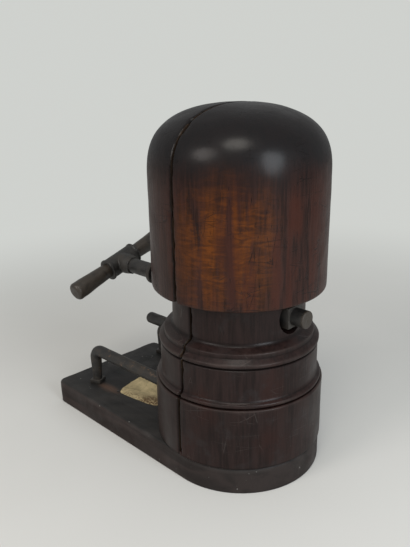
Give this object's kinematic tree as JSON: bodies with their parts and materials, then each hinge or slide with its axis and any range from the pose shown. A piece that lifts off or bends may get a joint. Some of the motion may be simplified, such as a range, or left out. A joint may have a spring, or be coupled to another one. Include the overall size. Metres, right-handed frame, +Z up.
{
  "type": "adjustable wooden hat form",
  "caption": "Adjustable wooden hat form: a domed crown on a turned pedestal, sawn in two and opened along iron rods by a screw with a T-handle.",
  "frame": {"origin": "on the board's underside, on the axis of the turned pedestal", "axes": "+Z up, +X towards the half that is fixed to the board, -X towards the T-handle"},
  "size_m": [0.3191, 0.1768, 0.3713],
  "materials": {
    "board_wood": "dark, worn, satin",
    "pedestal_wood": "dark plum-brown, waxed",
    "crown_wood": "dark red-brown, polished",
    "dowel_wood": "bare",
    "dark_iron": "blackened, worn",
    "worn_iron": "hand-worn",
    "rod_iron": "dark with rust",
    "old_paper": "matte, stained"
  },
  "bodies": {
    "base": {"base_board": "board_wood", "fixed_pedestal": "pedestal_wood", "fixed_crown": "crown_wood", "fixed_crown_dowels": "dowel_wood", "pedestal_screws": "worn_iron", "near_guide_rod": "rod_iron", "far_guide_rod": "rod_iron", "guide_pin": "dark_iron", "rod_nuts": "dark_iron", "rod_foot_nuts": "dark_iron", "bearing_plate": "dark_iron", "paper_label": "old_paper", "label_tack": "dark_iron"},
    "moving_half": {"moving_pedestal": "pedestal_wood", "moving_crown": "crown_wood", "moving_crown_dowels": "dowel_wood", "drive_nut": "dark_iron", "drive_nut_screws": "worn_iron"},
    "spindle": {"lead_screw": "dark_iron", "thrust_collar": "worn_iron", "collar_pin": "worn_iron", "end_nut": "dark_iron", "handle_tee": "dark_iron", "tee_rivet": "worn_iron", "handle_bar": "worn_iron"}
  },
  "joints": [
    {"name": "spindle_turn", "type": "hinge", "parent": "base", "child": "spindle", "pos_m": [0, 0, 0.1746], "axis": [1, 0, 0], "range_deg": [0, 4500]},
    {"name": "half_slide", "type": "slide", "parent": "base", "child": "moving_half", "axis": [-1, 0, 0], "range_m": [0, 0.05]}
  ],
  "couplings": [
    {"joint": "half_slide", "follows": "spindle_turn", "m_per_rad": 0.00063662}
  ]
}
